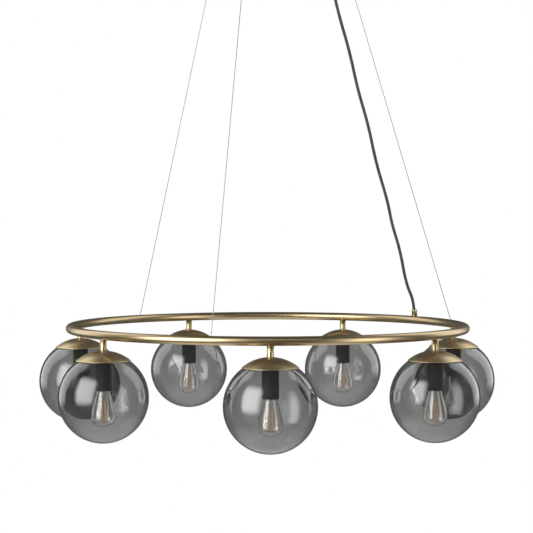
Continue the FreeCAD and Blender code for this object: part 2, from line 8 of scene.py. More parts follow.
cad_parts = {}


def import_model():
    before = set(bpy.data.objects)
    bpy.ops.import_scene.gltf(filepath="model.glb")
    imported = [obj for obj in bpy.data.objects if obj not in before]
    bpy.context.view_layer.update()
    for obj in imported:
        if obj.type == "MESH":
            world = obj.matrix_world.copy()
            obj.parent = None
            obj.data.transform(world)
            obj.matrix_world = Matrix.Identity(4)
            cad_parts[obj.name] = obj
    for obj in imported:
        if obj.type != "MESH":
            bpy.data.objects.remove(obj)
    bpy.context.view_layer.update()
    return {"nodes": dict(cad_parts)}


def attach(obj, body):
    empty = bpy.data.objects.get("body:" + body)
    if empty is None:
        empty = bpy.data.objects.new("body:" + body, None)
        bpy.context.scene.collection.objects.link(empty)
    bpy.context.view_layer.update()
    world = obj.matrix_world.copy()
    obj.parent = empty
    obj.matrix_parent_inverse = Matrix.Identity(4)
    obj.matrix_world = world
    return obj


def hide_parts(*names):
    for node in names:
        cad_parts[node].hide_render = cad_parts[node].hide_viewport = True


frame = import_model()

# A cluster pendant: smoked glass globes under a brushed brass ring, hung on steel wires, with a
# black cord.
# Lengths are written in millimetres, as a maker would, and become metres where a mesh is made.

MM = 0.001
TAU = 2 * math.pi

# ---------------------------------------------------------------- sizes of the frame, in mm

RING_RADIUS = 420.0
RING_LEVEL = -1155.0
TUBE_RADIUS = 9.0
LAMPS = range(1, 8)
WIRES = range(1, 4)
FIRST_WIRE = -135.6
GLAND_AZIMUTH = 126.2

# A stem stands between the tube and its cap, and its threaded foot goes on down into the lamp.
STEM_RADIUS = 6.75
STEM_LENGTH = 21.0
THREAD_RADIUS = 5.0

CAP_TOP = RING_LEVEL - TUBE_RADIUS - STEM_LENGTH
CAP_RADIUS = 54.5
CAP_RISE = 19.8
CAP_WALL = 1.2
CAP_SPHERE = (CAP_RISE**2 + CAP_RADIUS**2) / (2 * CAP_RISE)
CAP_CENTRE = CAP_TOP - CAP_SPHERE
CAP_RIM = math.asin(CAP_RADIUS / CAP_SPHERE)

# The globe hangs just under the cap's rim.
RIM_GAP = 0.8
GLOBE_RADIUS = 90.0
GLOBE_WALL = 2.5
LIP = GLOBE_WALL / 2
NECK = 38.0
LIP_ANGLE = math.asin((NECK + LIP) / (GLOBE_RADIUS - LIP))
RIM_INNER = (CAP_SPHERE - CAP_WALL) * math.sin(CAP_RIM)
RIM_INNER_LEVEL = CAP_CENTRE + (CAP_SPHERE - CAP_WALL) * math.cos(CAP_RIM)
GLOBE_CENTRE = RIM_INNER_LEVEL - RIM_GAP - math.sqrt(GLOBE_RADIUS**2 - RIM_INNER**2)

# The gallery's flange goes over the globe's lip, and the lampholder hangs under its pan.
SEAT_GAP = 0.35
PAN_WALL = 0.8
PAN_DEPTH = 10.5
LIP_LEVEL = GLOBE_CENTRE + (GLOBE_RADIUS - LIP) * math.cos(LIP_ANGLE)
FLANGE_TOP = LIP_LEVEL + LIP + SEAT_GAP + PAN_WALL
PAN_FLOOR = FLANGE_TOP - PAN_DEPTH
HOLDER_LENGTH = 56.5
HOLDER_FOOT = PAN_FLOOR - HOLDER_LENGTH

# The bulb, from the tip of its contact down to its widest level.
BULB_INSET = 29.5
TIP_HEIGHT = 3.7
BASE_LENGTH = 20.0
TIP_TO_WIDEST = 84.5
BULB_RADIUS = 24.5
BULB_WALL = 0.8
TIP_TOP = HOLDER_FOOT + BULB_INSET
SHELL_TOP = TIP_TOP - TIP_HEIGHT
BASE_FOOT = SHELL_TOP - BASE_LENGTH
BULB_WIDEST = TIP_TOP - TIP_TO_WIDEST

# Inside the bulb, a crown on a glass rod carries four filaments, which lean out to a hoop.
CROWN_TOP = BASE_FOOT - 26.0
FILAMENT_TOP = CROWN_TOP - 1.4
FILAMENT_HEIGHT = 42.6
FILAMENT_CIRCLE = 3.6
FILAMENT_TURN = 20.0
HOOP_RADIUS = 7.6

CANOPY_RADIUS = 80.0
CANOPY_HEIGHT = 30.0
CANOPY_WALL = 1.2
BALL_DEPTH = 25.0
BALL_RADIUS = 6.0
ANCHOR_RADIUS = 60.0
WIRE_RADIUS = 0.75
WIRE_TAIL = 12.0
WIRE_LENGTH = math.hypot(RING_RADIUS - ANCHOR_RADIUS, -RING_LEVEL - BALL_DEPTH)
WIRE_TILT = math.atan2(RING_RADIUS - ANCHOR_RADIUS, -RING_LEVEL - BALL_DEPTH)

CORD_RADIUS = 3.5
# The cord's route in the upright plane through the gland: distance from the lamp's axis, and
# height above the ring's centreline.
CORD_ROUTE = [
    (420.0, -0.9), (420.0, 40.0), (394.0, 84.0), (376.0, 160.0), (350.0, 222.0), (338.7, 270.0),
    (303.0, 358.0), (281.0, 440.0), (249.0, 520.0), (226.5, 600.0), (191.0, 690.0), (169.5, 770.0),
    (136.0, 850.0), (113.0, 930.0), (70.0, 1010.0), (22.0, 1068.0), (0.0, 1100.0), (0.0, 1133.0),
]


def around(radius, azimuth):
    """The X and Y of a point at a radius from the lamp's axis: azimuths run from the front, -Y,
    towards +X."""
    angle = math.radians(azimuth)
    return radius * math.sin(angle), -radius * math.cos(angle)


def lamp_place(number):
    """The X and Y of a lamp: the first is at the front, and all are evenly spaced."""
    return around(RING_RADIUS, (number - 1) * 360 / len(LAMPS))


def wire_azimuth(number):
    """Where a wire stands round the lamp's axis."""
    return FIRST_WIRE + (number - 1) * 360 / len(WIRES)


# ---------------------------------------------------------------- meshes


def grid_faces(rows, columns, close_rows, close_columns):
    """The quads of a grid of points numbered row by row: each joins a point to the next in its
    row and to the two in the row after. A closed direction wraps round to its start."""
    row = np.arange(rows if close_rows else rows - 1)[:, None]
    column = np.arange(columns if close_columns else columns - 1)[None, :]
    next_row = (row + 1) % rows
    next_column = (column + 1) % columns
    corners = [row * columns + column, row * columns + next_column,
               next_row * columns + next_column, next_row * columns + column]
    return np.stack([np.broadcast_to(c, (row.size, column.size)) for c in corners], -1).reshape(-1, 4)


class Skin:
    """Points, faces and a UV in metres for each corner, which join into one mesh."""

    def __init__(self):
        self.points, self.faces, self.uvs, self.count = [], [], [], 0

    def add(self, points, faces, uvs):
        """More points, faces that number them from 0, and a UV for each corner of each face."""
        self.points.append(points.reshape(-1, 3))
        self.faces.extend((faces + self.count).tolist())
        self.uvs.append(uvs.reshape(-1, 2))
        self.count += points.size // 3
        return self

    def grid(self, points, uv, close_rows=False, close_columns=False):
        """A surface given as a grid of points, with its UV grid."""
        rows, columns = points.shape[:2]
        faces = grid_faces(rows, columns, close_rows, close_columns)
        corner_uv = uv.reshape(-1, 2)[faces]
        wrap = np.ptp(corner_uv[..., 0], axis=1) > np.ptp(uv[..., 0]) / 2
        late = corner_uv[..., 0] < uv[..., 0].min() + np.ptp(uv[..., 0]) / 2
        step = np.ptp(uv[..., 0]) * columns / max(columns - 1, 1)
        corner_uv[..., 0] += np.where(wrap[:, None] & late, step, 0.0)
        return self.add(points, faces, corner_uv)

    def mesh(self, name, material):
        """The finished object, in metres, smooth shaded, with its poles closed."""
        data = bpy.data.meshes.new(name)
        points = np.concatenate(self.points) * MM
        data.from_pydata(points, [], self.faces)
        layer = data.uv_layers.new(name="UVMap")
        layer.data.foreach_set("uv", (np.concatenate(self.uvs) * MM).astype(np.float32).ravel())
        data.polygons.foreach_set("use_smooth", [True] * len(data.polygons))
        data.materials.append(material)
        data.validate()
        obj = bpy.data.objects.new(name, data)
        bpy.context.scene.collection.objects.link(obj)
        merge_poles(obj)
        return obj


def merge_poles(obj):
    """Points that fall together at a pole become one point, and flat faces there go. The faces
    are then turned to look outwards."""
    same_place = 1e-7
    work = bmesh.new()
    work.from_mesh(obj.data)
    bmesh.ops.remove_doubles(work, verts=work.verts, dist=same_place)
    bmesh.ops.recalc_face_normals(work, faces=work.faces)
    work.to_mesh(obj.data)
    work.free()


def arc(centre, radius, start, end, steps):
    """Points on an arc in the half section: centre plus radius times (cos, sin) of the angle."""
    angle = np.radians(np.linspace(start, end, steps))
    return np.stack([centre[0] + radius * np.cos(angle), centre[1] + radius * np.sin(angle)], 1)


def rounded(corners, steps=4):
    """A half section with its corners rounded. Each corner is (radius, level, round). An arc of
    that round touches both sides, and a supporting point stands just before and after it, so that
    a flat side stays flat under smooth shading."""
    support, margin, longest_share = 0.3, 0.05, 0.45
    points = [np.array(c[:2], float) for c in corners]
    out = [points[0]]
    for before, corner, after, spec in zip(points, points[1:], points[2:], corners[1:-1]):
        back, on = before - corner, after - corner
        back_length, on_length = np.linalg.norm(back), np.linalg.norm(on)
        back, on = back / back_length, on / on_length
        half = math.acos(np.clip(back @ on, -1, 1)) / 2
        size = spec[2] if len(spec) > 2 else 0.0
        reach = min(size / max(math.tan(half), 1e-6), longest_share * back_length,
                    longest_share * on_length)
        if size <= 0 or half > math.pi / 2 - 0.01:
            out.append(corner)
            continue
        size = reach * math.tan(half)
        centre = corner + (back + on) / np.linalg.norm(back + on) * size / math.sin(half)
        start, end = corner + back * reach - centre, corner + on * reach - centre
        turn = math.atan2(start[0] * end[1] - start[1] * end[0], start @ end)
        angle = math.atan2(start[1], start[0]) + turn * np.linspace(0, 1, steps + 1)
        beyond = reach * (1 + support) + margin
        out.append(corner + back * min(beyond, 0.5 * back_length))
        out.extend(np.stack([centre[0] + size * np.cos(angle), centre[1] + size * np.sin(angle)], 1))
        out.append(corner + on * min(beyond, 0.5 * on_length))
    out.append(points[-1])
    return np.array(out)


def turned(skin, section, place=(0, 0), segments=64, ripple=None, turn=None, closed=False):
    """A surface of revolution: the half section (r, z) at each azimuth a gives the point
    (r sin a, r cos a, z), which starts and ends at the back. A ripple adds a length to r that
    depends on a, z and r. A turn is a matrix that tilts and moves the surface."""
    section = np.array(section, float)
    azimuth = np.arange(segments) * TAU / segments
    radius = np.repeat(section[:, :1], segments, 1)
    level = np.repeat(section[:, 1:], segments, 1)
    if ripple is not None:
        radius = radius + ripple(azimuth[None, :], level, radius)
    points = np.stack([radius * np.sin(azimuth), radius * np.cos(azimuth), level], -1)
    if turn is not None:
        points = points @ np.array(turn.to_3x3()).T + np.array(turn.translation)
    points[..., 0] += place[0]
    points[..., 1] += place[1]
    along = np.concatenate([[0], np.cumsum(np.linalg.norm(np.diff(section, axis=0), axis=1))])
    widest = section[:, 0].max()
    uv = np.stack(np.broadcast_arrays(azimuth[None, :] * widest, along[:, None]), -1)
    return skin.grid(points, uv, close_rows=closed, close_columns=True)


def tube(skin, path, radius, around_count, relief=None):
    """A round tube along a path. The frame is carried without twist from each point to the next.
    A point is path + r (cos v N + sin v B), and a relief adds to r by the length run and v. Its
    ends close on the path's first and last point."""
    aside = [0.3, 0.9, 0.1]
    path = np.array(path, float)
    tangent = np.gradient(path, axis=0)
    tangent /= np.linalg.norm(tangent, axis=1)[:, None]
    normal = np.cross(tangent[0], aside)
    normals = []
    for direction in tangent:
        normal = normal - direction * (normal @ direction)
        normal = normal / np.linalg.norm(normal)
        normals.append(normal)
    normals = np.array(normals)
    binormals = np.cross(tangent, normals)
    run = np.concatenate([[0], np.cumsum(np.linalg.norm(np.diff(path, axis=0), axis=1))])
    angle = np.arange(around_count) * TAU / around_count
    size = np.broadcast_to(radius, (len(path),))[:, None] * np.ones(around_count)
    if relief is not None:
        size = size + relief(run[:, None], angle[None, :])
    points = (path[:, None] + size[..., None] * (np.cos(angle)[None, :, None] * normals[:, None]
                                                 + np.sin(angle)[None, :, None] * binormals[:, None]))
    points = np.concatenate([np.repeat(path[:1, None], around_count, 1), points,
                             np.repeat(path[-1:, None], around_count, 1)])
    run = np.concatenate([[run[0]], run, [run[-1]]])
    mean = float(np.mean(size))
    uv = np.stack(np.broadcast_arrays(angle[None, :] * mean, run[:, None]), -1)
    return skin.grid(points, uv, close_columns=True)


def rod(skin, start, end, radius, around_count, round_end=0.3):
    """A straight round bar from start to end. Over a short way at each end, round_end of its
    radius goes."""
    start, end = np.array(start, float), np.array(end, float)
    length = np.linalg.norm(end - start)
    edge = min(round_end * radius / length, 0.4)
    share = np.array([0.0, edge * 0.3, edge, 1 - edge, 1 - edge * 0.3, 1.0])
    size = radius * np.array([1 - round_end, 1 - round_end * 0.3, 1, 1, 1 - round_end * 0.3,
                              1 - round_end])
    return tube(skin, start + (end - start) * share[:, None], size, around_count)


# ---------------------------------------------------------------- materials


class Value:
    """A socket of a material's node tree, with the arithmetic that the finishes use."""

    def __init__(self, tree, socket):
        self.tree, self.socket = tree, socket

    def output(self, name):
        """Another output of the same node."""
        return Value(self.tree, self.socket.node.outputs[name])

    def math(self, operation, *others):
        return node(self.tree, "ShaderNodeMath", {"operation": operation}, [self, *others])

    def __add__(self, other):
        return self.math("ADD", other)

    def __mul__(self, other):
        return self.math("MULTIPLY", other)

    def __sub__(self, other):
        return self.math("SUBTRACT", other)

    def __rsub__(self, other):
        return node(self.tree, "ShaderNodeMath", {"operation": "SUBTRACT"}, [other, self])

    __radd__ = __add__
    __rmul__ = __mul__

    def clamped(self, low, high):
        """0 below low, 1 above high, and a smooth rise between."""
        return node(self.tree, "ShaderNodeMapRange", {"interpolation_type": "SMOOTHSTEP"},
                    {"Value": self, "From Min": low, "From Max": high})


def node(tree, kind, settings=None, inputs=(), output=0):
    """One node: its settings are set first, then its inputs, by name or in order."""
    made = tree.nodes.new(kind)
    for name, value in (settings or {}).items():
        setattr(made, name, value)
    pairs = inputs.items() if isinstance(inputs, dict) else enumerate(inputs)
    for key, value in pairs:
        if isinstance(value, Value):
            tree.links.new(value.socket, made.inputs[key])
        else:
            made.inputs[key].default_value = value
    return Value(tree, made.outputs[output])


def mix(tree, factor, first, second):
    """Colour mixed by a factor."""
    return node(tree, "ShaderNodeMix", {"data_type": "RGBA"}, {"Factor": factor, 6: first, 7: second},
                output=2)


class Finish:
    """A new material with one Principled surface, and the coordinates that its pattern reads."""

    def __init__(self, name, **constants):
        self.material = bpy.data.materials.new(name)
        self.material.use_nodes = True
        self.tree = self.material.node_tree
        self.surface = self.tree.nodes["Principled BSDF"]
        self.output = self.tree.nodes["Material Output"]
        for key, value in constants.items():
            socket = self.surface.inputs[key.replace("_", " ")]
            socket.default_value = (*value, 1) if isinstance(value, tuple) else value

    def coordinates(self, kind="UV"):
        """The piece's UV map, in metres along its surface, or its Object coordinates."""
        return node(self.tree, "ShaderNodeTexCoord", output=kind)

    def scaled(self, scale, kind):
        """The coordinates, drawn out by a scale along each axis."""
        return node(self.tree, "ShaderNodeMapping", None,
                    {"Vector": self.coordinates(kind), "Scale": scale})

    def noise(self, scale, detail, kind="UV"):
        """Noise from 0 to 1, with so many grains to the metre along each axis."""
        return node(self.tree, "ShaderNodeTexNoise", None,
                    {"Vector": self.scaled(scale, kind), "Scale": 1.0, "Detail": detail})

    def set(self, name, value):
        """Gives a pattern to one of the surface's sockets."""
        self.tree.links.new(value.socket, self.surface.inputs[name])

    def bump(self, height, strength, distance):
        """Relief from a pattern: distance is the height of a whole step, in metres."""
        self.set("Normal", node(self.tree, "ShaderNodeBump", None,
                                {"Strength": strength, "Distance": distance, "Height": height}))


def brushed_brass(name, base, rough, aniso, across, along, depth):
    """Antique brass with brushed lines: noise drawn out along the brushing, a slow change of
    tone where the lacquer is thicker, and the same lines in roughness and relief. Across and
    along are the lines to the metre in each direction."""
    finish = Finish(name, Metallic=1.0, Anisotropic=aniso)
    lines = finish.noise((along, across, 1), 3.0)
    fine = finish.noise((along * 3, across * 3.1, 1), 2.0)
    cloud = finish.noise((14, 14, 14), 3.0, "Object")
    dark = tuple(c * 0.9 for c in base)
    light = tuple(min(1.0, c * 1.06) for c in base)
    tone = mix(finish.tree, lines.clamped(0.3, 0.7) * 0.5 + cloud.clamped(0.3, 0.7) * 0.5,
               (*dark, 1), (*light, 1))
    finish.set("Base Color", tone)
    finish.set("Roughness", lines * 0.07 + fine * 0.05 + (rough - 0.06))
    finish.bump(lines + fine * 0.5, depth, 0.00003)
    return finish.material


def smoked_glass():
    """Grey glass that takes away more light the longer its way in the wall. Shadow and diffuse
    rays pass its surface as if it were clear, so that what is inside stays lit."""
    finish = Finish("smoked_glass", Base_Color=(1.0, 1.0, 1.0), Roughness=0.0, IOR=1.5,
                    Transmission_Weight=1.0, Specular_IOR_Level=0.5)
    wave = finish.noise((9, 9, 9), 1.0, "Object")
    finish.bump(wave, 0.12, 0.0006)
    let_through(finish)
    smoke = node(finish.tree, "ShaderNodeVolumeAbsorption", None,
                 {"Color": (0.5, 0.5, 0.495, 1), "Density": SMOKE_DENSITY})
    finish.tree.links.new(smoke.socket, finish.output.inputs["Volume"])
    return finish.material


def clear_glass():
    """The bulbs' clear glass, faintly wavy, with a bright skin that shows its edges."""
    finish = Finish("clear_glass", Base_Color=(0.975, 0.955, 0.93), Roughness=0.0, IOR=1.5,
                    Transmission_Weight=1.0, Coat_Weight=1.0, Coat_Roughness=0.02, Coat_IOR=2.4)
    wave = finish.noise((40, 40, 25), 1.0, "Object")
    finish.bump(wave, 0.1, 0.0003)
    let_through(finish)
    return finish.material


def let_through(finish):
    """Mixes in a clear surface for shadow and diffuse rays."""
    tree = finish.tree
    rays = node(tree, "ShaderNodeLightPath")
    either = rays.output("Is Shadow Ray").math("MAXIMUM", rays.output("Is Diffuse Ray"))
    clear = node(tree, "ShaderNodeBsdfTransparent", None, {"Color": (1, 1, 1, 1)})
    both = node(tree, "ShaderNodeMixShader", None,
                {0: either, 1: Value(tree, finish.surface.outputs[0]), 2: clear})
    tree.links.new(both.socket, finish.output.inputs["Surface"])


def matt_black(name, base, grain):
    """A black moulding or paint with a fine grain and faint rub marks."""
    finish = Finish(name, Specular_IOR_Level=0.4)
    fine = finish.noise((grain, grain, grain), 4.0, "Object")
    rub = finish.noise((30, 30, 30), 3.0, "Object")
    light = tuple(c * 1.5 for c in base)
    finish.set("Base Color", mix(finish.tree, rub.clamped(0.4, 0.75), (*base, 1), (*light, 1)))
    finish.set("Roughness", fine * 0.15 + rub * 0.1 + 0.38)
    finish.bump(fine, 0.15, 0.0001)
    return finish.material


def braided_cloth():
    """Black braid: two sets of yarns wound left and right. The yarns are the ridges of
    sin(turns v + TAU length / pitch), and the higher of the two sets lies on top. The grooves
    between the yarns get painted shade, darker than the yarns' crowns."""
    turns, pitch = 8.0, 0.0022
    finish = Finish("braided_cloth", Sheen_Weight=0.25, Sheen_Roughness=0.5, Specular_IOR_Level=0.3)
    parts = node(finish.tree, "ShaderNodeSeparateXYZ", None, {"Vector": finish.coordinates()})
    angle = parts * (1 / (CORD_RADIUS * MM))
    run = parts.output("Y") * (TAU / pitch)
    left = (angle * turns + run).math("SINE")
    right = (angle * turns - run).math("SINE")
    over = left.math("MAXIMUM", right)
    fibre = finish.noise((900, 2600, 1), 3.0)
    slow = finish.noise((60, 60, 60), 2.0, "Object")
    # Partly painted shade: the relief's ridges make the grooves between yarns darker and the crowns
    # lighter; the fibre and slow noise are the cloth's own changes of tone.
    tone = over.clamped(-0.4, 1.0) * 0.6 + fibre.clamped(0.35, 0.7) * 0.4
    finish.set("Base Color", mix(finish.tree, tone * slow.clamped(0.1, 0.9), (0.006, 0.006, 0.007, 1),
                                 (0.06, 0.058, 0.055, 1)))
    finish.set("Roughness", fibre * 0.2 + 0.6)
    finish.bump(over + fibre * 0.4, 0.5, 0.0003)
    return finish.material


def plain_metal(name, base, rough, grain=(300, 300, 300)):
    """Plated or pressed metal: fine scratches, a slow change of tone and of gloss."""
    finish = Finish(name, Metallic=1.0)
    scratch = finish.noise(grain, 4.0, "Object")
    cloud = finish.noise((40, 40, 40), 3.0, "Object")
    dark = tuple(c * 0.8 for c in base)
    finish.set("Base Color", mix(finish.tree, cloud.clamped(0.3, 0.7), (*dark, 1), (*base, 1)))
    finish.set("Roughness", scratch * 0.16 + cloud * 0.08 + (rough - 0.1))
    finish.bump(scratch, 0.08, 0.0001)
    return finish.material


def moulded(name, base, rough):
    """A plain moulding with a slight orange-peel skin."""
    finish = Finish(name)
    skin = finish.noise((500, 500, 500), 2.0, "Object")
    cloud = finish.noise((50, 50, 50), 2.0, "Object")
    dark = tuple(c * 0.88 for c in base)
    finish.set("Base Color", mix(finish.tree, cloud.clamped(0.3, 0.7), (*dark, 1), (*base, 1)))
    finish.set("Roughness", skin * 0.1 + (rough - 0.05))
    finish.bump(skin, 0.1, 0.0001)
    return finish.material


def amber_coating_painted_glow():
    """The phosphor coat of a filament: amber, with slightly lighter grains, and a painted glow: it gives
    out its own colour as light though the lamp is off.
    """
    # Painted glow: the filaments emit light of their own, though the lamp is unlit.
    finish = Finish("amber_coating_painted_glow", Specular_IOR_Level=0.4, Emission_Strength=0.3)
    grain = finish.noise((1500, 1500, 1500), 3.0, "Object")
    tone = mix(finish.tree, grain.clamped(0.3, 0.7), (0.66, 0.38, 0.17, 1), (0.88, 0.58, 0.32, 1))
    finish.set("Base Color", tone)
    # The painted glow takes the coat's own amber tone.
    finish.set("Emission Color", tone)
    finish.set("Roughness", grain * 0.2 + 0.35)
    return finish.material


SMOKE_DENSITY = 640.0

tube_brass = brushed_brass("tube_brass", (0.33, 0.255, 0.145), 0.3, 0.0, 2200, 10, 0.03)
cap_brass = brushed_brass("cap_brass", (0.42, 0.33, 0.19), 0.34, 0.5, 1800, 16, 0.16)
stem_brass = brushed_brass("stem_brass", (0.32, 0.25, 0.145), 0.3, 0.0, 2200, 20, 0.04)
smoke = smoked_glass()
clear = clear_glass()
holder_black = matt_black("holder_black", (0.018, 0.018, 0.019), 2500)
pan_black = matt_black("pan_black", (0.012, 0.012, 0.012), 1800)
braid = braided_cloth()
rope_steel = plain_metal("rope_steel", (0.2, 0.2, 0.2), 0.4)
nickel = plain_metal("nickel", (0.66, 0.63, 0.58), 0.25)
zinc = plain_metal("zinc", (0.6, 0.6, 0.6), 0.38, (200, 900, 200))
pressed_brass = plain_metal("pressed_brass", (0.72, 0.58, 0.3), 0.3)
base_metal = plain_metal("base_metal", (0.75, 0.7, 0.6), 0.28)
white_moulding = moulded("white_moulding", (0.8, 0.8, 0.77), 0.4)
lead_cover = moulded("lead_cover", (0.08, 0.08, 0.08), 0.5)
amber = amber_coating_painted_glow()


def carry(piece, body, *replaced, slot):
    """Puts a new piece on its body, in place of the frame's nodes that it stands for."""
    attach(piece, body)
    if replaced:
        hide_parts(*replaced)
    return piece


# ---------------------------------------------------------------- the ring and its stems


def ring_tube():
    """The ring: a torus. The point at u round the ring and v round the tube is
    ((R + r cos v) sin u, (R + r cos v) cos u, level + r sin v)."""
    steps, around_count = 720, 56
    u = (np.arange(steps) * TAU / steps)[:, None]
    v = (np.arange(around_count) * TAU / around_count)[None, :]
    out = RING_RADIUS + TUBE_RADIUS * np.cos(v)
    points = np.stack(np.broadcast_arrays(out * np.sin(u), out * np.cos(u),
                                          RING_LEVEL + TUBE_RADIUS * np.sin(v)), -1)
    uv = np.stack(np.broadcast_arrays(u * RING_RADIUS, v * TUBE_RADIUS), -1)
    skin = Skin()
    faces = grid_faces(steps, around_count, True, True)
    corner_uv = uv.reshape(-1, 2)[faces]
    for axis, length in ((0, TAU * RING_RADIUS), (1, TAU * TUBE_RADIUS)):
        wrap = np.ptp(corner_uv[..., axis], axis=1) > length / 2
        corner_uv[..., axis] += np.where(wrap[:, None] & (corner_uv[..., axis] < length / 2), length, 0)
    skin.add(points, faces, corner_uv)
    return skin.mesh("ring_tube_brass", tube_brass)


def ring_stems():
    """Seven turned stems, each from inside the tube down through its cap."""
    top = RING_LEVEL - 5
    shoulder = CAP_TOP - 0.02
    foot = shoulder - 10.0
    section = rounded([(0, top), (STEM_RADIUS, top), (STEM_RADIUS, shoulder, 0.25),
                       (THREAD_RADIUS, shoulder), (THREAD_RADIUS, foot), (0, foot)])
    skin = Skin()
    for number in LAMPS:
        turned(skin, section, lamp_place(number), 64)
    return skin.mesh("stems_brass", stem_brass)


def gland(top, foot, place, name):
    """A gland or grip: a turned sleeve round the cord, with a rounded mouth at its top. The grip
    hangs with that end down, so its top is below its foot."""
    outer, bore, straight = 6.25, CORD_RADIUS + 0.25, 6.0
    way = 1 if top > foot else -1
    section = rounded([(outer, foot), (outer, top, 0.7), (bore, top, 0.4), (bore, top - way * straight)], 5)
    skin = Skin()
    turned(skin, np.concatenate([[(bore, foot)], section]), place, 64, closed=True)
    return skin.mesh(name, stem_brass)


ring = carry(ring_tube(), "ring", "ring_tube", slot="brass")
stems = carry(ring_stems(), "ring", "ring_stems", slot="stem_brass")
carry(gland(RING_LEVEL + 24.0, RING_LEVEL + 3.0, around(RING_RADIUS, GLAND_AZIMUTH), "gland_brass"),
      "ring", "cord_gland", slot="brass")

# ---------------------------------------------------------------- lamps


def sphere_arc(centre, radius, start, end, steps):
    """Points of the half section on a sphere, by the angle from straight up."""
    angle = np.linspace(start, end, steps)
    return np.stack([radius * np.sin(angle), centre + radius * np.cos(angle)], 1)


def cap(number):
    """The dome: two spherical faces CAP_WALL apart, a rolled edge at the rim."""
    hole = THREAD_RADIUS + 0.05
    flank, roll = CAP_RIM - 0.008, CAP_RIM - 0.0035
    inner_sphere = CAP_SPHERE - CAP_WALL
    outer = sphere_arc(CAP_CENTRE, CAP_SPHERE, math.asin(hole / CAP_SPHERE), flank, 48)
    inner = sphere_arc(CAP_CENTRE, inner_sphere, flank, math.asin(hole / inner_sphere), 32)
    middle = CAP_SPHERE - CAP_WALL / 2
    edge = [(middle + CAP_WALL / 2 * math.cos(t)) * np.array([math.sin(a), math.cos(a)])
            for t, a in ((0.7, roll), (math.pi / 2, CAP_RIM), (2.44, roll))]
    edge = np.array(edge) + [0, CAP_CENTRE]
    skin = Skin()
    turned(skin, np.concatenate([outer, edge, inner]), lamp_place(number), 160, closed=True)
    return skin.mesh(f"cap_{number}_brass", cap_brass)


def globe(number):
    """The blown ball: outer and inner spheres GLOBE_WALL apart, joined by a round lip."""
    outer = sphere_arc(GLOBE_CENTRE, GLOBE_RADIUS, math.pi, LIP_ANGLE, 96)
    inner = sphere_arc(GLOBE_CENTRE, GLOBE_RADIUS - GLOBE_WALL, LIP_ANGLE, math.pi, 96)
    middle = GLOBE_RADIUS - LIP
    centre = np.array([middle * math.sin(LIP_ANGLE), GLOBE_CENTRE + middle * math.cos(LIP_ANGLE)])
    start = math.pi / 2 - LIP_ANGLE
    lip = np.array([centre + LIP * np.array([math.cos(start + t), math.sin(start + t)])
                    for t in np.linspace(0, math.pi, 9)[1:-1]])
    skin = Skin()
    turned(skin, np.concatenate([outer, lip, inner]), lamp_place(number), 160)
    return skin.mesh(f"globe_{number}_glass", smoke)


def lampholder(number):
    """The holder: a moulded cylinder, with its socket in a core that the skirt stands round."""
    outer, skirt, core, socket = 16.5, 14.7, 10.5, 7.9
    hole = THREAD_RADIUS + 0.1
    head = PAN_FLOOR - 10.0
    mouth = HOLDER_FOOT + 8.5
    ceiling = TIP_TOP + 1.2
    section = rounded([
        (hole, PAN_FLOOR), (outer, PAN_FLOOR, 1.5), (outer, HOLDER_FOOT, 0.4), (skirt, HOLDER_FOOT, 0.4),
        (skirt, head), (core, head), (core, mouth, 0.3), (socket, mouth, 0.3), (socket, ceiling),
        (hole, ceiling)], 4)
    skin = Skin()
    turned(skin, section, lamp_place(number), 72, closed=True)
    return skin.mesh(f"lampholder_{number}_black", holder_black)


def bulb_section(wall):
    """The teardrop's half section, set in by a wall: from the end on the axis, round the
    shoulder, up a long flank and a straight taper, to the neck."""
    taper, turn = 16.1, 60.0
    flank, shoulder, neck_radius, neck_rise = 90.0, 15.0, 8.4, 4.5
    shoulder_out = BULB_RADIUS - shoulder
    end_centre = BULB_WIDEST + shoulder_out * math.tan(math.radians(turn))
    end = shoulder + shoulder_out / math.cos(math.radians(turn)) - wall
    tip = arc((0, end_centre), end, -90, -turn, 20)
    round_shoulder = arc((shoulder_out, BULB_WIDEST), shoulder - wall, -turn, 0, 16)
    long_flank = arc((BULB_RADIUS - flank, BULB_WIDEST), flank - wall, 0, taper, 24)
    foot = long_flank[-1]
    neck_level = BASE_FOOT - neck_rise
    neck = foot[0] - (neck_level - foot[1]) * math.tan(math.radians(taper))
    share = np.linspace(0, 1, 16)[1:, None]
    straight = foot + (np.array([neck, neck_level]) - foot) * share
    top = np.array([neck_radius - wall, BASE_FOOT])
    step = np.linspace(0, 1, 7)[1:, None]
    lean = 3 * step**2 - 2 * step**3
    crown = np.concatenate([straight[-1][0] + (top[0] - straight[-1][0]) * (0.4 * step + 0.6 * lean),
                            straight[-1][1] + (top[1] - straight[-1][1]) * step], 1)
    return np.concatenate([tip, round_shoulder[1:], long_flank[1:], straight, crown])


def bulb_glass(number):
    """The bulb's envelope: one teardrop inside another, joined at the neck."""
    outer, inner = bulb_section(0.0), bulb_section(BULB_WALL)[::-1]
    skin = Skin()
    turned(skin, np.concatenate([outer, inner]), lamp_place(number), 96)
    return skin.mesh(f"bulb_glass_{number}_clear", clear)


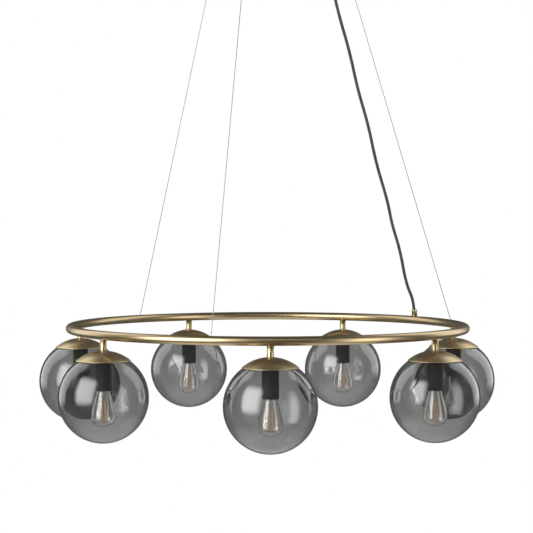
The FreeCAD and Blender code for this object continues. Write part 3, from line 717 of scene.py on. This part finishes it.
def bulb_screw(number):
    """The screw base. Its thread is a wave cut into the radius,
    r - a (1 - cos(TAU z / pitch - azimuth)), that dies away at both ends."""
    foot, top = SHELL_TOP - 17.0, SHELL_TOP
    depth, pitch, crest, collar = 0.35, 2.82, 6.9, 8.6

    def thread(azimuth, level, radius):
        fade = np.clip((level - foot - 1.5) / 2, 0, 1) * np.clip((top - 1.0 - level) / 2, 0, 1)
        inside = (radius > 6.0) & (level > foot) & (level < top)
        return np.where(inside, fade * (depth * np.cos(TAU * level / pitch - azimuth) - depth), 0.0)

    wall = np.stack([np.full(60, crest), np.linspace(top, foot, 60)], 1)
    section = np.concatenate([
        rounded([(0, TIP_TOP), (2.4, TIP_TOP, 0.6), (2.4, TIP_TOP - 1.2), (4.6, TIP_TOP - 1.3),
                 (6.4, top + 0.2)], 4)[:-1],
        wall,
        rounded([(crest + 0.3, foot - 0.6), (collar, foot - 1.8, 0.4), (collar, BASE_FOOT, 0.3),
                 (6.5, BASE_FOOT)], 4),
        [(0, BASE_FOOT)]])
    skin = Skin()
    turned(skin, section, lamp_place(number), 64, ripple=thread)
    return skin.mesh(f"bulb_screw_{number}", base_metal)


def filament_ends(number):
    """The upper and lower end of each filament, leaning a little outwards as it goes down."""
    place = np.array([*lamp_place(number), FILAMENT_TOP])
    ends = []
    for index in range(4):
        out = np.array([*around(1.0, (index + 0.5) * 90 + FILAMENT_TURN), 0.0])
        ends.append((place + FILAMENT_CIRCLE * out, place + HOOP_RADIUS * out - (0, 0, FILAMENT_HEIGHT)))
    return ends


def filaments(number):
    """Four coated rods, bare for a twentieth of their length at each end."""
    bare, radius = 0.05, 1.05
    skin = Skin()
    for upper, lower in filament_ends(number):
        way = lower - upper
        rod(skin, upper + way * bare, upper + way * (1 - bare), radius, 14, 0.5)
    return skin.mesh(f"filaments_{number}", amber)


def filament_wires(number):
    """The crown and the bare ends of the filaments, and the hoop that joins their feet: a torus
    through the four lower ends."""
    place = lamp_place(number)
    crown_radius, crown_foot = 5.0, CROWN_TOP - 0.8
    reach, wire_radius, hoop_wire = 0.06, 0.35, 0.4
    skin = Skin()
    turned(skin, rounded([(0, CROWN_TOP), (crown_radius, CROWN_TOP, 0.25),
                          (crown_radius, crown_foot, 0.25), (0, crown_foot)]), place, 32)
    for upper, lower in filament_ends(number):
        way = lower - upper
        rod(skin, upper + (0, 0, 1.0), upper + way * reach, wire_radius, 8)
        rod(skin, upper + way * (1 - reach), lower, wire_radius, 8)
    angle = np.linspace(0, TAU, 61)[:-1]
    v = np.arange(10) * TAU / 10
    out = np.stack([np.sin(angle), np.cos(angle), 0 * angle], 1)
    hoop = np.array([*place, FILAMENT_TOP - FILAMENT_HEIGHT]) + HOOP_RADIUS * out
    points = (hoop[:, None] + hoop_wire * (np.cos(v)[None, :, None] * out[:, None]
                                           + np.sin(v)[None, :, None] * np.array([0, 0, 1.0])))
    uv = np.stack(np.broadcast_arrays(v[None, :] * hoop_wire, angle[:, None] * HOOP_RADIUS), -1)
    skin.grid(points, uv, close_rows=True, close_columns=True)
    return skin.mesh(f"filament_wires_{number}", base_metal)


def glass_mount(number):
    """The glass rod in the bulb, flared where it is sealed to the neck: over its first 12 mm, at
    a share s of the way, its radius is 2.0 + 5.2 (1 - s) cubed."""
    rod_radius, flare_out, flare_length = 2.0, 5.2, 12
    top, foot = BASE_FOOT - 0.3, CROWN_TOP + 0.1
    share = np.linspace(0, 1, 14)
    flare = np.stack([rod_radius + flare_out * (1 - share) ** 3, top - flare_length * share], 1)
    section = np.concatenate([[(0, top)], flare, [(1.9, CROWN_TOP + 1.2), (1.2, foot), (0, foot)]])
    skin = Skin()
    turned(skin, section, lamp_place(number), 40)
    return skin.mesh(f"glass_mount_{number}", clear)


caps = []
for number in LAMPS:
    caps.append(carry(cap(number), "ring", f"cap_{number}", slot="cap_brass"))
    carry(globe(number), f"glass_{number}", f"globe_{number}", slot="smoke_glass")
    carry(lampholder(number), "ring", f"lampholder_{number}", slot="holder_black")
    carry(bulb_glass(number), f"bulb_{number}", f"bulb_glass_{number}", slot="clear_glass")
    for piece in (bulb_screw(number), filaments(number), filament_wires(number), glass_mount(number)):
        carry(piece, f"bulb_{number}", f"bulb_base_{number}", slot="bulb_metal")

# ---------------------------------------------------------------- canopy and grippers


def canopy_cup():
    """The cup: turned, with a rounded lower corner and a thin edge at the ceiling."""
    hole, corner, edge, edge_level = 5.2, 5.0, 0.3, -0.3
    inside, floor_level = CANOPY_RADIUS - CANOPY_WALL, CANOPY_WALL - CANOPY_HEIGHT
    section = rounded([(hole, -CANOPY_HEIGHT), (CANOPY_RADIUS, -CANOPY_HEIGHT, corner),
                       (CANOPY_RADIUS, edge_level, edge), (inside, edge_level, edge),
                       (inside, floor_level, corner - CANOPY_WALL), (hole, floor_level)], 10)
    skin = Skin()
    turned(skin, section, (0, 0), 192, closed=True)
    return skin.mesh("canopy_cup_brass", cap_brass)


def wire_frame(number):
    """The frame of a wire: its origin at the gripper's ball, its Z up along the wire."""
    azimuth = math.radians(wire_azimuth(number))
    x, y = around(ANCHOR_RADIUS, wire_azimuth(number))
    up = Vector((-math.sin(WIRE_TILT) * math.sin(azimuth), math.sin(WIRE_TILT) * math.cos(azimuth),
                 math.cos(WIRE_TILT)))
    turn = Vector((0, 0, 1)).rotation_difference(up).to_matrix().to_4x4()
    return Matrix.Translation((x, y, -BALL_DEPTH)) @ turn


def gripper(number):
    """The gripper: a ball, a neck, and a barrel with a knurled band, where a ripple of
    0.12 (1 - cos(36 azimuth)) is cut in. Its levels run down the wire from the ball's centre."""
    bore, neck, barrel, mouth = 1.0, 2.25, 5.5, 3.1
    shoulder, band_top, band_foot, end, chamber = -12.0, -15.0, -22.0, -34.0, -31.2

    def knurl(azimuth, level, radius):
        band = (level < band_top) & (level > band_foot) & (radius > 5.4)
        return np.where(band, 0.12 * (np.cos(36 * azimuth) - 1), 0.0)

    ball = sphere_arc(0.0, BALL_RADIUS, math.asin(bore / BALL_RADIUS),
                      math.pi - math.asin(neck / BALL_RADIUS), 32)
    upper = rounded([(neck, -6.5), (neck, shoulder, 0.5), (barrel, shoulder, 1.0), (barrel, -14.6, 0.2)],
                    5)[1:]
    band = np.stack([np.full(16, barrel), np.linspace(-14.9, -22.1, 16)], 1)
    foot = rounded([(barrel, -22.4), (barrel, end, 1.0), (mouth, end, 0.3), (mouth, chamber)], 5)
    skin = Skin()
    section = np.concatenate([ball, upper, band, foot, [(bore, chamber)]])
    turned(skin, section, (0, 0), 144, ripple=knurl, turn=wire_frame(number), closed=True)
    return skin.mesh(f"gripper_{number}_nickel", nickel)


def nozzle(number):
    """The release nozzle: a thin sleeve with a rounded mouth."""
    bore, outer, top, foot = 1.0, 3.0, -30.9, -40.0
    section = rounded([(bore, top), (outer, top), (outer, foot, 0.5), (bore, foot, 0.3),
                       (bore, top - 0.3)], 5)
    skin = Skin()
    turned(skin, section[:-1], (0, 0), 48, turn=wire_frame(number), closed=True)
    return skin.mesh(f"nozzle_{number}_nickel", nickel)


def swivel_bushes():
    """Three flanged bushes in the canopy's floor, open below for the gripper's neck. Each has a
    seat for the ball, a throat under it, and a mouth that widens downwards."""
    flange, sleeve, seat, throat, mouth = 9.0, 7.5, BALL_RADIUS + 0.1, 4.6, 7.6
    top, throat_level, flange_foot = -20.0, -29.0, -32.0
    section = rounded([(throat, throat_level), (mouth, flange_foot, 0.3), (flange, flange_foot, 0.5),
                       (flange, -CANOPY_HEIGHT), (sleeve, -CANOPY_HEIGHT), (sleeve, top, 0.4),
                       (seat, top, 0.3), (seat, -BALL_DEPTH), (5.7, -27.2), (throat, throat_level)], 4)
    skin = Skin()
    for number in WIRES:
        turned(skin, section[:-1], around(ANCHOR_RADIUS, wire_azimuth(number)), 64, closed=True)
    return skin.mesh("swivel_bushes_brass", stem_brass)


carry(canopy_cup(), "canopy", "canopy_cup", slot="brass")
carry(gland(-45.0, -24.0, (0, 0), "grip_brass"), "canopy", "cord_grip", slot="brass")
carry(swivel_bushes(), "canopy", "swivel_bushes", slot="brass")
for number in WIRES:
    carry(gripper(number), f"suspension_{number}", f"gripper_{number}", slot="gripper_nickel")
    carry(nozzle(number), f"release_{number}", f"nozzle_{number}", slot="gripper_nickel")

# ---------------------------------------------------------------- wires and cord


def spline(name, points):
    """A curve of one open NURBS spline with these control points, in millimetres."""
    curve = bpy.data.curves.new(name, "CURVE")
    curve.dimensions = "3D"
    line = curve.splines.new("NURBS")
    line.points.add(len(points) - 1)
    for point, place in zip(line.points, points):
        point.co = (*(MM * c for c in place), 1)
    line.order_u = 3
    line.use_endpoint_u = True
    line.resolution_u = 24
    return curve


def followed(curve, step):
    """The spline's own line as points in mm, at even steps."""
    helper = bpy.data.objects.new(curve.name, curve)
    bpy.context.scene.collection.objects.link(helper)
    mesh = bpy.data.meshes.new_from_object(helper)
    points = np.array([v.co[:] for v in mesh.vertices]) / MM
    bpy.data.objects.remove(helper)
    bpy.data.meshes.remove(mesh)
    bpy.data.curves.remove(curve)
    run = np.concatenate([[0], np.cumsum(np.linalg.norm(np.diff(points, axis=0), axis=1))])
    even = np.linspace(0, run[-1], max(2, int(round(run[-1] / step)) + 1))
    return np.stack([np.interp(even, run, points[:, axis]) for axis in range(3)], 1), run[-1]


def power_cord():
    """The cord: a tube along the spline, with a shallow relief of crossing yarns,
    sin(5 v + k s) sin(5 v - k s)."""
    yarn_pitch, yarn_height, cover = 6.0, 0.09, 0.05
    points = [(*around(out, GLAND_AZIMUTH), RING_LEVEL + height) for out, height in CORD_ROUTE]
    path, length = followed(spline("power_cord_line", points), 0.9)
    skin = Skin()

    def yarns(run, angle):
        along = TAU * run / yarn_pitch
        return yarn_height * np.sin(5 * angle + along) * np.sin(5 * angle - along) - cover

    tube(skin, path, CORD_RADIUS, 30, yarns)
    cord = skin.mesh("power_cord_braid", braid)
    carry(cord, "ring", "power_cord", slot="cord_fabric")


def wire(number):
    """A wire rope: a tube whose radius has six lobes that turn along it, r - a |sin(3 v + k s)|.
    Its foot ends in a stop inside the ring's tube, and its tail stands out above the ball."""
    lobe, lay_length, stop_radius, stop_length, stop_play = 0.09, 18.0, 2.0, 5.0, 1.0
    tube_bore = TUBE_RADIUS - 1.5
    placed = wire_frame(number)
    ends = [placed @ Vector((0, 0, run)) for run in (-WIRE_LENGTH + 1.3, WIRE_TAIL)]
    path, length = followed(spline(f"wire_{number}_line", [tuple(e) for e in ends]), 1.0)
    skin = Skin()

    def lay(run, angle):
        return -lobe * np.abs(np.sin(3 * angle + TAU * run / lay_length))

    tube(skin, path, WIRE_RADIUS, 18, lay)
    rope = skin.mesh(f"wire_{number}_rope", rope_steel)
    carry(rope, f"suspension_{number}", f"wire_{number}", slot="wire_steel")
    seat = -WIRE_LENGTH + math.sqrt(tube_bore**2 - stop_radius**2) - stop_play
    foot, hole = seat - stop_length, WIRE_RADIUS + 0.05
    section = rounded([(hole, seat), (stop_radius, seat, 0.3), (stop_radius, foot, 0.3), (hole, foot)])
    stop = Skin()
    turned(stop, section, (0, 0), 32, turn=placed, closed=True)
    ferrule = stop.mesh(f"wire_{number}_stop", zinc)
    carry(ferrule, f"suspension_{number}", slot="wire_steel")


power_cord()
for number in WIRES:
    wire(number)

# ---------------------------------------------------------------- the frame's own pieces

KEPT = {
    "mounting_plate": zinc, "side_screws": stem_brass, "terminal_block": white_moulding,
    "canopy_nuts": zinc, "ring_wiring": lead_cover, "stem_nuts": zinc, "glass_galleries": pan_black,
    "socket_shells": pressed_brass,
}
for name, material in KEPT.items():
    kept = frame["nodes"][name]
    kept.data.materials.clear()
    kept.data.materials.append(material)

# ---------------------------------------------------------------- floor, light and camera


def floor():
    """A round floor well below the lamp: a pale disc that fades into the white round it."""
    level, steps = -2600.0, 96
    rings = np.array([0.0, 400, 900, 1400, 1900, 2400])
    angle = np.linspace(0, TAU, steps + 1)[:-1]
    points = np.stack([rings[:, None] * np.sin(angle), rings[:, None] * np.cos(angle),
                       np.full((rings.size, steps), level)], -1)
    skin = Skin()
    skin.grid(points, points[..., :2], close_columns=True)
    finish = Finish("floor_paper", Base_Color=(0.86, 0.86, 0.86), Roughness=0.9)
    place = node(finish.tree, "ShaderNodeVectorMath", {"operation": "LENGTH"},
                 [node(finish.tree, "ShaderNodeMapping", None,
                       {"Vector": finish.coordinates("Object"), "Scale": (1, 1, 0)})], output="Value")
    strength = 1 - node(finish.tree, "ShaderNodeLightPath").output("Is Glossy Ray") * 0.7
    white = node(finish.tree, "ShaderNodeEmission", None, {"Color": (1, 1, 1, 1), "Strength": strength})
    both = node(finish.tree, "ShaderNodeMixShader", None,
                {0: place.clamped(0.5, 2.2), 1: Value(finish.tree, finish.surface.outputs[0]), 2: white})
    finish.tree.links.new(both.socket, finish.output.inputs["Surface"])
    disc = skin.mesh("floor", finish.material)


def softbox(name, azimuth, elevation, distance, size, strength, edge):
    """A rectangular lamp that looks at a point on the lamp's axis among the globes, softer towards
    its edges. Its azimuth and elevation are in degrees, its distance and size in metres, and edge
    is the share of its width over which it fades."""
    lamp = bpy.data.lights.new(name, "AREA")
    lamp.shape = "RECTANGLE"
    lamp.size, lamp.size_y = size
    lamp.energy = strength * size[0] * size[1] * math.pi
    lamp.use_nodes = True
    tree = lamp.node_tree
    place = node(tree, "ShaderNodeNewGeometry", output="Parametric")
    u = node(tree, "ShaderNodeSeparateXYZ", None, {"Vector": place})
    v = u.output("Y")
    near_u = u.math("MINIMUM", 1 - u)
    near_v = v.math("MINIMUM", 1 - v)
    fade = near_u.clamped(0, edge) * near_v.clamped(0, edge)
    glow = tree.nodes["Emission"]
    tree.links.new(fade.socket, glow.inputs["Strength"])
    obj = bpy.data.objects.new(name, lamp)
    bpy.context.scene.collection.objects.link(obj)
    aim_level = -1.25
    target = Vector((0, 0, aim_level))
    flat = math.cos(math.radians(elevation))
    x, y = around(1.0, azimuth)
    out = Vector((x * flat, y * flat, math.sin(math.radians(elevation))))
    obj.location = target + out * distance
    obj.rotation_euler = out.to_track_quat("Z", "Y").to_euler()
    obj.visible_camera = False
    return obj


def world():
    """White to the eye and through glass. Polished surfaces see a dim room, a little lighter
    overhead and lighter still below, so that they keep their depth. Matt ones get an even grey."""
    made = bpy.data.worlds.new("studio")
    bpy.context.scene.world = made
    made.use_nodes = True
    tree = made.node_tree
    rays = node(tree, "ShaderNodeLightPath")
    seen = rays.output("Is Camera Ray").math("MAXIMUM", rays.output("Is Transmission Ray"))
    direction = node(tree, "ShaderNodeTexCoord", output="Generated")
    level = node(tree, "ShaderNodeSeparateXYZ", None, {"Vector": direction}, output="Z")
    above, below = level.clamped(0.1, 0.9), level.clamped(-0.1, -0.9)
    room = above * 0.05 + below * 0.3 + 0.1
    glossy = rays.output("Is Glossy Ray")
    diffuse_light = 0.55
    strength = seen.math("MAXIMUM", glossy * room + (1 - glossy) * diffuse_light)
    sky = tree.nodes["Background"].inputs
    tree.links.new(strength.socket, sky["Strength"])
    sky["Color"].default_value = (1, 1, 1, 1)


def camera():
    """The photograph's own view: a long lens, a little above the ring. The focal length and the
    shift are in the picture's pixels, the distance and height in metres, the angles in degrees."""
    picture, focal, shift = 533, 1645.1, -1.3
    distance, azimuth, height, pitch = 3.513, -0.68, -0.93, 1.561
    data = bpy.data.cameras.new("camera")
    data.sensor_width = 36.0
    data.lens = focal / picture * data.sensor_width
    data.shift_x = shift / picture
    obj = bpy.data.objects.new("camera", data)
    bpy.context.scene.collection.objects.link(obj)
    x, y = around(distance, azimuth)
    obj.location = (x, y, height)
    obj.rotation_euler = (math.pi / 2 - math.radians(pitch), 0, math.radians(azimuth))
    bpy.context.scene.camera = obj


floor()
world()
softbox("left_softbox", -46, 17, 3.0, (3.2, 4.0), 9.0, 0.3)
softbox("right_softbox", 53, -2, 3.0, (2.1, 5.6), 4.4, 0.4)
softbox("left_panel", -118, 24, 3.0, (2.6, 5.0), 2.2, 0.2)
softbox("right_panel", 118, 24, 3.0, (2.6, 5.0), 2.2, 0.2)
strip = softbox("front_strip", 0, 34, 3.4, (4.6, 0.4), 3.0, 0.3)
metal = bpy.data.collections.new("lit_by_the_strip")
for lit in (ring, stems, *caps):
    metal.objects.link(lit)
strip.light_linking.receiver_collection = metal
camera()
bpy.context.scene.view_settings.view_transform = "Standard"
